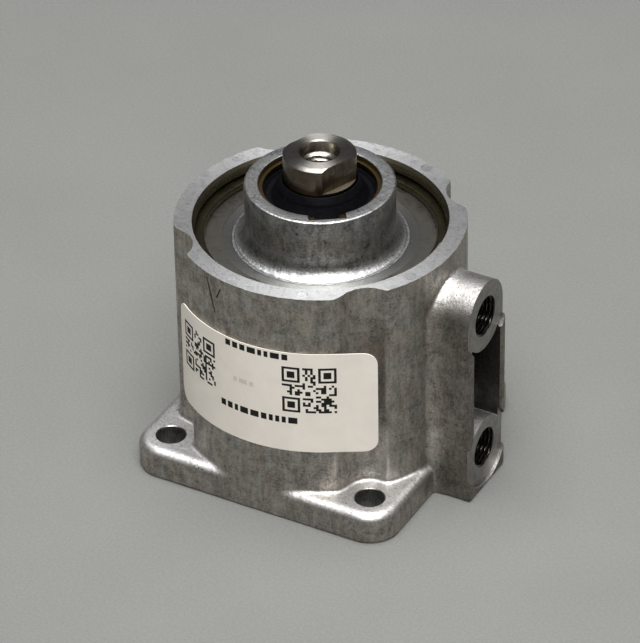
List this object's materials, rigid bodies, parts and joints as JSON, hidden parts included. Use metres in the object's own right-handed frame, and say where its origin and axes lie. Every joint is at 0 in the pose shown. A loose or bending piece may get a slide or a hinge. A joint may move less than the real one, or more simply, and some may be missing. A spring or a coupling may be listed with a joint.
{
  "type": "short-stroke pneumatic cylinder",
  "caption": "Compact double-acting pneumatic cylinder: round fluted body on a square bolt flange, side port block, threaded rod end with wrench flats.",
  "frame": {"origin": "centre of the flange underside, on the cylinder axis", "axes": "+Z along the rod, out of the rod end; +X out of the air ports; the label faces -Y"},
  "size_m": [0.0732, 0.0645, 0.075],
  "materials": {
    "cast_aluminium": "die-cast, matt grey, stained by use; machined rim, foot and port faces",
    "cast_cap_aluminium": "die-cast, fine grain, blotchy grey; turned top of the boss",
    "turned_aluminium": "turned bright",
    "stainless_steel": "ground and polished rod, faced end, milled flats",
    "bright_steel": "plain bright steel",
    "yellow_zinc_steel": "yellow passivated zinc on spring steel",
    "sintered_bronze": "sintered, oil-filled",
    "nitrile_rubber": "moulded, slightly oily",
    "guide_ring_plastic": "filled acetal, matt",
    "label_paper": "coated paper, yellowed, rubbed at its edges"
  },
  "bodies": {
    "housing": {"housing": "cast_aluminium", "bearing_cap": "cast_cap_aluminium", "cap_retaining_ring": "yellow_zinc_steel", "cap_o_ring": "nitrile_rubber", "rod_bush": "sintered_bronze", "rod_seal": "nitrile_rubber", "seal_washer": "bright_steel", "rod_wiper": "nitrile_rubber", "wiper_retaining_ring": "yellow_zinc_steel", "upper_bumper": "nitrile_rubber", "lower_bumper": "nitrile_rubber", "identification_label": "label_paper"},
    "piston_seals": {"lower_piston_seal": "nitrile_rubber", "upper_piston_seal": "nitrile_rubber", "piston_guide_ring": "guide_ring_plastic"},
    "piston_rod": {"piston": "turned_aluminium", "piston_rod": "stainless_steel", "rod_o_ring": "nitrile_rubber", "piston_screw": "bright_steel", "piston_screw_washer": "bright_steel"}
  },
  "joints": [
    {"name": "rod_stroke", "type": "slide", "parent": "housing", "child": "piston_seals", "axis": [0, 0, 1], "range_m": [0, 0.025]},
    {"name": "rod_turn", "type": "hinge", "parent": "piston_seals", "child": "piston_rod", "pos_m": [0, 0, 0.07], "axis": [0, 0, 1], "continuous": true}
  ]
}
